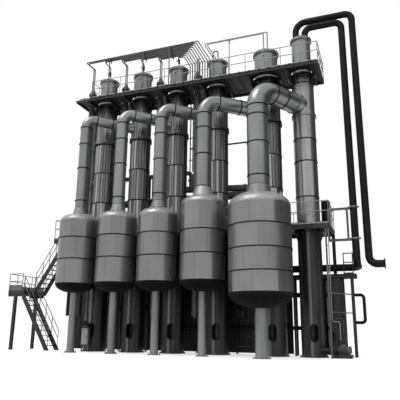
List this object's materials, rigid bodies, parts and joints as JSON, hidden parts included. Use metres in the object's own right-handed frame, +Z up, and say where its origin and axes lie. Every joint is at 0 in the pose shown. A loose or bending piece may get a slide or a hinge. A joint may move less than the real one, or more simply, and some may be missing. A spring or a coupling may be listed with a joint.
{
  "type": "vacuum concentrator",
  "caption": "Multi-effect falling-film vacuum concentrator: clad columns, separators on drain legs, vapour ducts, condenser, decks and stair.",
  "frame": {"origin": "on the ground, in the middle of the plan", "axes": "+Z up, +X along the row from the stair to the condenser, -Y towards the separators"},
  "size_m": [21.1394, 5.8519, 18.2958],
  "materials": {
    "cladding": "sheet cladding, satin, slightly weathered",
    "bare_steel": "plain steel pipe, dull",
    "dark_steel": "dark grey paint, dusty",
    "deck_paint": "grey paint, worn",
    "rail_paint": "light grey paint",
    "black_paint": "black bitumen paint, matt",
    "box_paint": "light grey powder coat"
  },
  "bodies": {
    "root": {"skirt_1": "dark_steel", "skirt_2": "dark_steel", "skirt_3": "dark_steel", "skirt_4": "dark_steel", "skirt_5": "dark_steel", "condenser_skirt": "dark_steel", "column_1": "cladding", "column_2": "cladding", "column_3": "cladding", "column_4": "cladding", "column_5": "cladding", "condenser_shell": "cladding", "column_heads": "cladding", "condenser_head": "cladding", "separator_1": "cladding", "separator_2": "cladding", "separator_3": "cladding", "separator_4": "cladding", "separator_5": "cladding", "separator_tops": "cladding", "separator_bottoms": "cladding", "drain_legs": "bare_steel", "vapour_duct_1": "cladding", "vapour_duct_2": "cladding", "vapour_duct_3": "cladding", "vapour_duct_4": "cladding", "vapour_duct_5": "cladding", "low_crossings": "dark_steel", "preheaters": "cladding", "upper_deck_plate": "deck_paint", "upper_deck_frame": "deck_paint", "upper_deck_rails": "rail_paint", "pipe_bundle": "bare_steel", "bundle_supports": "deck_paint", "vent_lines": "bare_steel", "cooling_supply": "black_paint", "cooling_return": "black_paint", "pipe_bracket": "rail_paint", "header_pipe": "bare_steel", "low_pipes": "black_paint", "pipe_stands": "dark_steel", "receiver": "dark_steel", "end_platform": "dark_steel", "end_guard": "dark_steel", "deck_cabinet": "dark_steel", "control_box": "box_paint", "box_stand": "dark_steel", "pumps": "dark_steel", "back_wall": "dark_steel", "rear_risers": "bare_steel", "mid_deck_plate": "deck_paint", "mid_deck_frame": "deck_paint", "mid_deck_rails": "rail_paint", "mid_deck_posts": "dark_steel", "stair_landing": "dark_steel", "landing_posts": "dark_steel", "stringers": "dark_steel", "treads": "dark_steel", "stair_rails": "rail_paint"}
  },
  "joints": []
}
